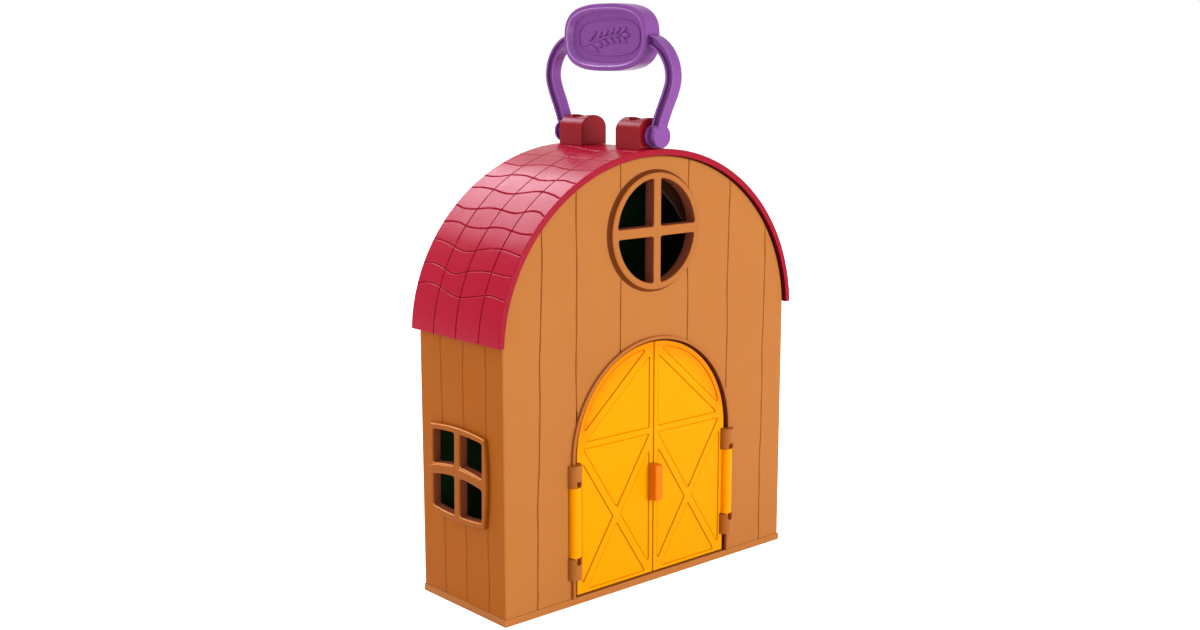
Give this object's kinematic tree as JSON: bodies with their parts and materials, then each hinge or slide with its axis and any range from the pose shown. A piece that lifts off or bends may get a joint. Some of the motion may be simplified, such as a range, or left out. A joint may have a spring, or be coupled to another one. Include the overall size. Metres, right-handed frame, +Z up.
{
  "type": "toy barn playset",
  "caption": "Toy barn playset: arched roof over a shallow moulded body, twin arched front doors, cross-bar windows, fold-down rear yard panel and a swinging carry handle",
  "frame": {"origin": "centre of the base, on the table the toy stands on", "axes": "+X to the right seen from the front, +Y to the rear, +Z up; the front with the doors faces -Y"},
  "size_m": [0.2284, 0.11, 0.3345],
  "materials": {
    "wall": "moulded, light satin",
    "trim": "moulded, light satin",
    "roof": "moulded, soft gloss",
    "door": "moulded, soft gloss",
    "handle": "moulded, soft gloss",
    "yard": "moulded, matt",
    "screw": "zinc plated"
  },
  "bodies": {
    "barn": {"barn_shell": "wall", "floor_plate": "wall", "roof_shell": "roof", "roof_lug_front": "roof", "roof_lug_rear": "roof", "hinge_bracket_right_lower": "trim", "hinge_bracket_left_lower": "trim", "hinge_bracket_right_upper": "trim", "hinge_bracket_left_upper": "trim", "door_surround": "trim", "surround_foot_right": "trim", "surround_foot_left": "trim", "round_window_frame": "trim", "side_window_frame_left": "trim", "side_window_frame_right": "trim", "floor_screw_front_left": "screw", "floor_screw_front_right": "screw", "floor_screw_rear_left": "screw", "floor_screw_rear_right": "screw", "lug_screw_front": "screw", "lug_screw_rear": "screw"},
    "handle": {"carry_handle": "handle"},
    "left_door": {"door_left": "door"},
    "right_door": {"door_right": "door", "door_pull": "door"},
    "yard_panel": {"rear_panel": "wall", "yard_liner": "yard"}
  },
  "joints": [
    {"name": "handle_swing", "type": "hinge", "parent": "barn", "child": "handle", "pos_m": [0, 0, 0.2609], "axis": [0, 1, 0], "range_deg": [-98, 98]},
    {"name": "left_door_swing", "type": "hinge", "parent": "barn", "child": "left_door", "pos_m": [-0.061, -0.038, 0.05], "axis": [0, 0, -1], "range_deg": [0, 130]},
    {"name": "right_door_swing", "type": "hinge", "parent": "barn", "child": "right_door", "pos_m": [0.061, -0.038, 0.05], "axis": [0, 0, 1], "range_deg": [0, 130]},
    {"name": "rear_panel_swing", "type": "hinge", "parent": "barn", "child": "yard_panel", "pos_m": [0, 0.0356, 0.0029], "axis": [-1, 0, 0], "range_deg": [0, 90]}
  ]
}
